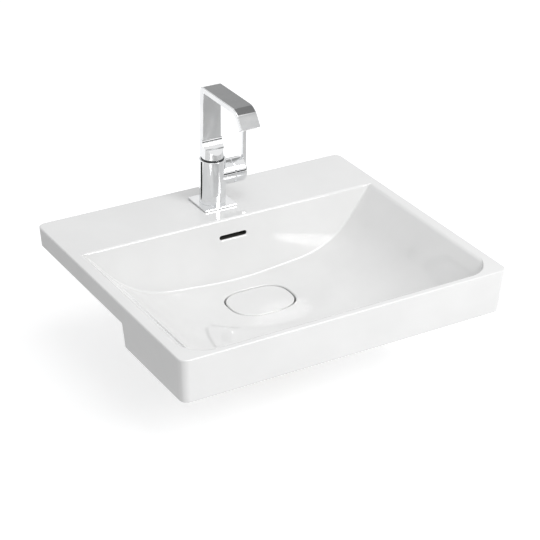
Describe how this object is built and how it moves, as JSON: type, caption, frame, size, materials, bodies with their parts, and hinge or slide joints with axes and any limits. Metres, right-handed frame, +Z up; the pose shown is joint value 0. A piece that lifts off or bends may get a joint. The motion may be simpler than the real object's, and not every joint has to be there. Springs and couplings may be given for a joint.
{
  "type": "countertop basin",
  "caption": "Rectangular semi-recessed washbasin with a curved bowl, overflow slot, flush oval waste cover and a side-lever mixer tap with a swivelling flat spout.",
  "frame": {"origin": "middle of the basin's back edge, on the worktop plane that the rim's underside rests on", "axes": "+X to the right as the user faces the basin, +Y towards the wall, +Z up; the front hangs over the worktop's edge at -Y"},
  "size_m": [0.55, 0.47, 0.4082],
  "materials": {
    "glaze": "glossy",
    "chrome": "polished",
    "steel": "brushed",
    "brass": "satin",
    "rubber": "matte",
    "black_plastic": "matte",
    "white_plastic": "matte",
    "disc_ceramic": "satin"
  },
  "bodies": {
    "basin": {"basin_body": "glaze", "plunger_spring": "steel", "plunger_guide": "white_plastic", "waste_body": "chrome", "flange_seal": "rubber", "lower_seal": "rubber", "lower_washer": "white_plastic", "back_nut": "brass", "base_gasket": "rubber", "base_plate": "chrome", "tap_body": "chrome", "swivel_ring": "black_plastic", "spout_lock_screw": "steel", "cartridge_base": "white_plastic", "cartridge_seals": "rubber", "fixed_disc": "disc_ceramic", "cartridge_sleeve": "white_plastic", "cartridge_nut": "brass", "fixing_stud": "steel", "fixing_gasket": "rubber", "clamp_plate": "steel", "fixing_nut": "brass"},
    "spout": {"spout": "chrome", "spout_seals": "rubber", "aerator": "white_plastic"},
    "cover": {"waste_cover": "glaze", "cover_holder": "white_plastic", "plunger": "steel", "plunger_seal": "rubber"},
    "carrier": {"stem_carrier": "white_plastic", "stem_pin": "steel"},
    "disc": {"moving_disc": "disc_ceramic"},
    "lever": {"lever_stem": "brass", "lever_hub": "chrome", "lever_set_screw": "steel", "lever_blade": "chrome"}
  },
  "joints": [
    {"name": "spout_swivel", "type": "hinge", "parent": "basin", "child": "spout", "pos_m": [0, -0.06001, 0.105], "axis": [0, 0, 1], "range_deg": [-75, 75]},
    {"name": "lever_temperature", "type": "hinge", "parent": "basin", "child": "carrier", "pos_m": [0.022, -0.06001, 0.081], "axis": [1, 0, 0], "range_deg": [-45, 45]},
    {"name": "lever_flow", "type": "hinge", "parent": "carrier", "child": "lever", "pos_m": [0.022, -0.06001, 0.081], "axis": [0, 1, 0], "range_deg": [0, 18]},
    {"name": "disc_slide", "type": "slide", "parent": "carrier", "child": "disc", "axis": [0, 0, 1], "range_m": [0, 0.0015]},
    {"name": "cover_lift", "type": "slide", "parent": "basin", "child": "cover", "axis": [0, 0, 1], "range_m": [0, 0.008], "deforming": ["plunger_spring"]}
  ],
  "couplings": [
    {"joint": "disc_slide", "follows": "lever_flow", "m_per_rad": 0.00445}
  ]
}
